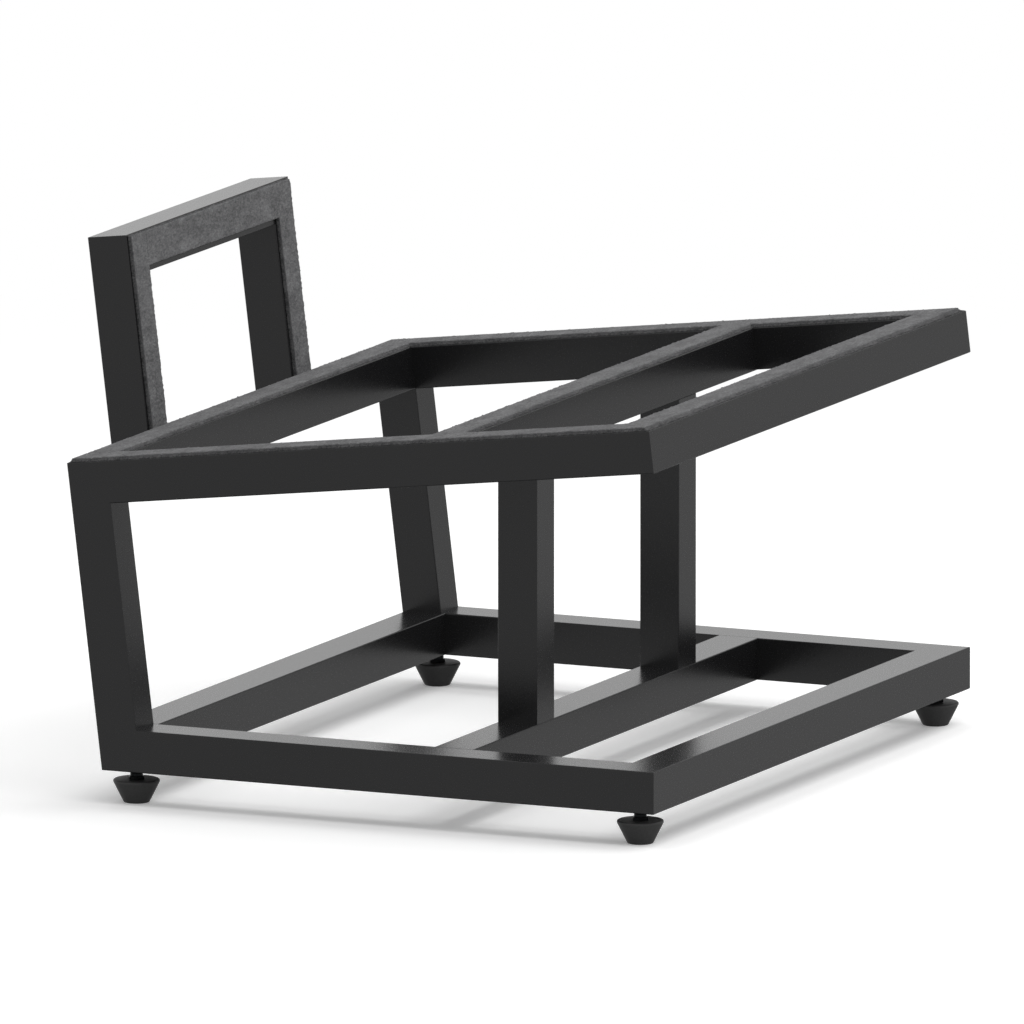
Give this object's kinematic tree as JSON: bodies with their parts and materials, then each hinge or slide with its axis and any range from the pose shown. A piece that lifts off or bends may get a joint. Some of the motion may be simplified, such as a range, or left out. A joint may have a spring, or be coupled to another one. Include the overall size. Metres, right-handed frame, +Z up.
{
  "type": "speaker stand",
  "caption": "Low welded tube stand that tips a large loudspeaker back on a felt-lined sloping seat with a backrest, on levelling feet.",
  "frame": {"origin": "on the floor, in the middle of the stand's overall width and depth", "axes": "+Z up, -Y to the front, where the seat is highest, and +X to the right seen from the front"},
  "size_m": [0.363, 0.3308, 0.2527],
  "materials": {
    "frame_coat": "fine matt black powder coat",
    "felt": "dense needled felt, charcoal",
    "pad": "moulded, satin black",
    "stud": "black zinc plate",
    "nut": "plain steel",
    "plug": "moulded black"
  },
  "bodies": {
    "frame": {"base_front_rail": "frame_coat", "base_mid_rail": "frame_coat", "base_rear_rail": "frame_coat", "base_side_rail_left": "frame_coat", "base_side_rail_right": "frame_coat", "rear_leg_left": "frame_coat", "rear_leg_right": "frame_coat", "front_leg_left": "frame_coat", "front_leg_right": "frame_coat", "seat_front_rail": "frame_coat", "seat_mid_rail": "frame_coat", "seat_rear_rail": "frame_coat", "seat_side_rail_left": "frame_coat", "seat_side_rail_right": "frame_coat", "backrest_upright_left": "frame_coat", "backrest_upright_right": "frame_coat", "backrest_top_rail": "frame_coat", "upright_plug_left": "plug", "upright_plug_right": "plug", "felt_seat_front": "felt", "felt_seat_mid": "felt", "felt_seat_rear": "felt", "felt_seat_left": "felt", "felt_seat_right": "felt", "felt_backrest_left": "felt", "felt_backrest_right": "felt", "felt_backrest_top": "felt", "foot_nuts": "nut"},
    "pad_front_left": {"foot_pad_front_left": "pad"},
    "pad_front_right": {"foot_pad_front_right": "pad"},
    "pad_rear_left": {"foot_pad_rear_left": "pad"},
    "pad_rear_right": {"foot_pad_rear_right": "pad"},
    "stud_front_left": {"foot_stud_front_left": "stud"},
    "stud_front_right": {"foot_stud_front_right": "stud"},
    "stud_rear_left": {"foot_stud_rear_left": "stud"},
    "stud_rear_right": {"foot_stud_rear_right": "stud"}
  },
  "joints": [
    {"name": "pad_travel_front_left", "type": "slide", "parent": "frame", "child": "pad_front_left", "axis": [0, 0, -1], "range_m": [-0.0034, 0.006]},
    {"name": "stud_turn_front_left", "type": "hinge", "parent": "pad_front_left", "child": "stud_front_left", "pos_m": [-0.1692, -0.15313, 0.016], "axis": [0, 0, -1], "range_deg": [-1225, 2161]},
    {"name": "pad_travel_front_right", "type": "slide", "parent": "frame", "child": "pad_front_right", "axis": [0, 0, -1], "range_m": [-0.0034, 0.006]},
    {"name": "stud_turn_front_right", "type": "hinge", "parent": "pad_front_right", "child": "stud_front_right", "pos_m": [0.1692, -0.15313, 0.016], "axis": [0, 0, -1], "range_deg": [-1225, 2161]},
    {"name": "pad_travel_rear_left", "type": "slide", "parent": "frame", "child": "pad_rear_left", "axis": [0, 0, -1], "range_m": [-0.0034, 0.006]},
    {"name": "stud_turn_rear_left", "type": "hinge", "parent": "pad_rear_left", "child": "stud_rear_left", "pos_m": [-0.1692, 0.10427, 0.016], "axis": [0, 0, -1], "range_deg": [-1225, 2161]},
    {"name": "pad_travel_rear_right", "type": "slide", "parent": "frame", "child": "pad_rear_right", "axis": [0, 0, -1], "range_m": [-0.0034, 0.006]},
    {"name": "stud_turn_rear_right", "type": "hinge", "parent": "pad_rear_right", "child": "stud_rear_right", "pos_m": [0.1692, 0.10427, 0.016], "axis": [0, 0, -1], "range_deg": [-1225, 2161]}
  ],
  "couplings": [
    {"joint": "stud_turn_front_left", "follows": "pad_travel_front_left", "rad_per_m": 6283.2},
    {"joint": "stud_turn_front_right", "follows": "pad_travel_front_right", "rad_per_m": 6283.2},
    {"joint": "stud_turn_rear_left", "follows": "pad_travel_rear_left", "rad_per_m": 6283.2},
    {"joint": "stud_turn_rear_right", "follows": "pad_travel_rear_right", "rad_per_m": 6283.2}
  ]
}
